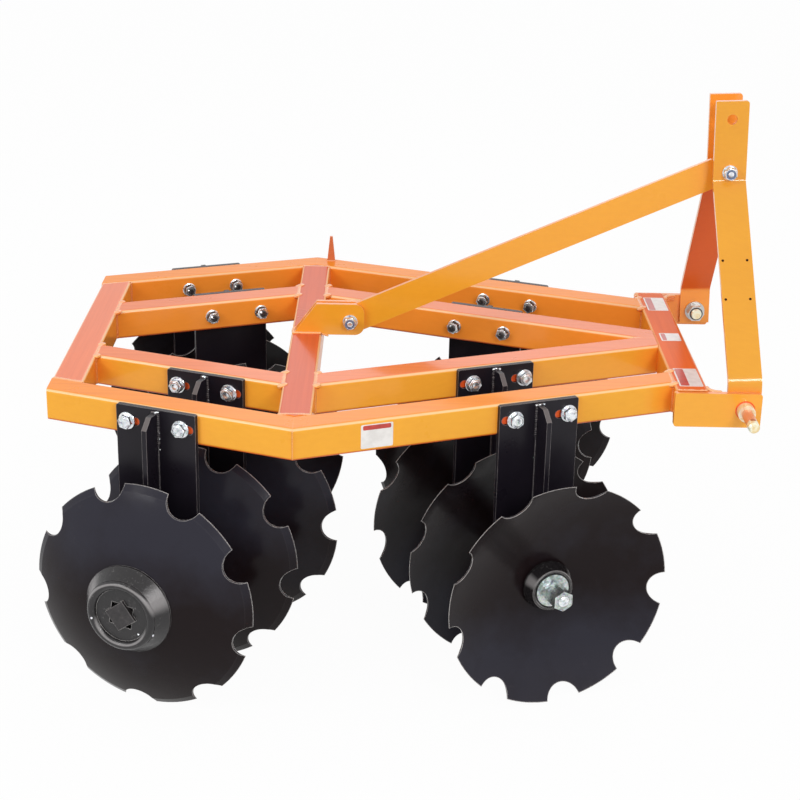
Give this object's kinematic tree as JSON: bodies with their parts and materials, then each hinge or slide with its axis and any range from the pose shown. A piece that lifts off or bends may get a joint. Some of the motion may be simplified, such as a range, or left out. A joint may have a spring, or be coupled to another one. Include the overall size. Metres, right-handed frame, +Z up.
{
  "type": "tandem disc harrow",
  "caption": "Tandem disc harrow for a three-point hitch: hexagonal square-tube frame, A-shaped mast and angled gangs of notched discs that turn freely.",
  "frame": {"origin": "centre of the machine at ground level, where the discs stand", "axes": "+X forward in the direction of travel, to the hitch; +Y to the left; +Z up"},
  "size_m": [1.4018, 1.2748, 1.0975],
  "materials": {
    "frame_paint": "gloss powder coat",
    "hanger_paint": "gloss black powder coat",
    "disc_paint": "gloss black paint",
    "cast_paint": "black paint on casting",
    "zinc_plate": "bright zinc",
    "axle_steel": "black steel",
    "yellow_zinc": "yellow zinc"
  },
  "bodies": {
    "frame": {"bearings_front_left": "cast_paint", "bearings_front_right": "cast_paint", "bearings_rear_left": "cast_paint", "bearings_rear_right": "cast_paint", "brace_bracket": "frame_paint", "front_crossbar": "frame_paint", "hanger_front_inner_left": "hanger_paint", "hanger_front_inner_right": "hanger_paint", "hanger_front_outer_left": "hanger_paint", "hanger_front_outer_right": "hanger_paint", "hanger_rear_inner_left": "hanger_paint", "hanger_rear_inner_right": "hanger_paint", "hanger_rear_outer_left": "hanger_paint", "hanger_rear_outer_right": "hanger_paint", "hitch_lug_left": "frame_paint", "hitch_lug_right": "frame_paint", "hitch_pin_left": "yellow_zinc", "hitch_pin_right": "yellow_zinc", "inner_rail_front_left": "frame_paint", "inner_rail_front_right": "frame_paint", "inner_rail_rear_left": "frame_paint", "inner_rail_rear_right": "frame_paint", "mast_brace": "frame_paint", "mast_leg_left": "frame_paint", "mast_leg_right": "frame_paint", "mast_spacers": "frame_paint", "middle_crossbar": "frame_paint", "outer_rail_front_left": "frame_paint", "outer_rail_front_right": "frame_paint", "outer_rail_rear_left": "frame_paint", "outer_rail_rear_right": "frame_paint", "rear_crossbar": "frame_paint", "upright_tab": "frame_paint"},
    "gang_rear_right": {"axle_nut_rear_right": "zinc_plate", "axle_rear_right": "axle_steel", "discs_rear_right": "disc_paint", "end_bell_rear_right": "cast_paint", "journal_spools_rear_right": "cast_paint", "plain_spools_rear_right": "cast_paint"},
    "gang_rear_left": {"axle_nut_rear_left": "zinc_plate", "axle_rear_left": "axle_steel", "discs_rear_left": "disc_paint", "end_bell_rear_left": "cast_paint", "journal_spools_rear_left": "cast_paint", "plain_spools_rear_left": "cast_paint"},
    "gang_front_right": {"axle_front_right": "axle_steel", "axle_nut_front_right": "zinc_plate", "discs_front_right": "disc_paint", "end_bell_front_right": "cast_paint", "journal_spools_front_right": "cast_paint", "plain_spools_front_right": "cast_paint"},
    "gang_front_left": {"axle_front_left": "axle_steel", "axle_nut_front_left": "zinc_plate", "discs_front_left": "disc_paint", "end_bell_front_left": "cast_paint", "journal_spools_front_left": "cast_paint", "plain_spools_front_left": "cast_paint"}
  },
  "joints": [
    {"name": "gang_rear_right_spin", "type": "hinge", "parent": "frame", "child": "gang_rear_right", "pos_m": [-0.4155, -0.3609, 0.2286], "axis": [0.3534, 0.9355, 0], "continuous": true},
    {"name": "gang_rear_left_spin", "type": "hinge", "parent": "frame", "child": "gang_rear_left", "pos_m": [-0.4155, 0.3609, 0.2286], "axis": [-0.3534, 0.9355, 0], "continuous": true},
    {"name": "gang_front_right_spin", "type": "hinge", "parent": "frame", "child": "gang_front_right", "pos_m": [0.23099, -0.28439, 0.2286], "axis": [-0.3534, 0.9355, 0], "continuous": true},
    {"name": "gang_front_left_spin", "type": "hinge", "parent": "frame", "child": "gang_front_left", "pos_m": [0.23099, 0.28439, 0.2286], "axis": [0.3534, 0.9355, 0], "continuous": true}
  ]
}
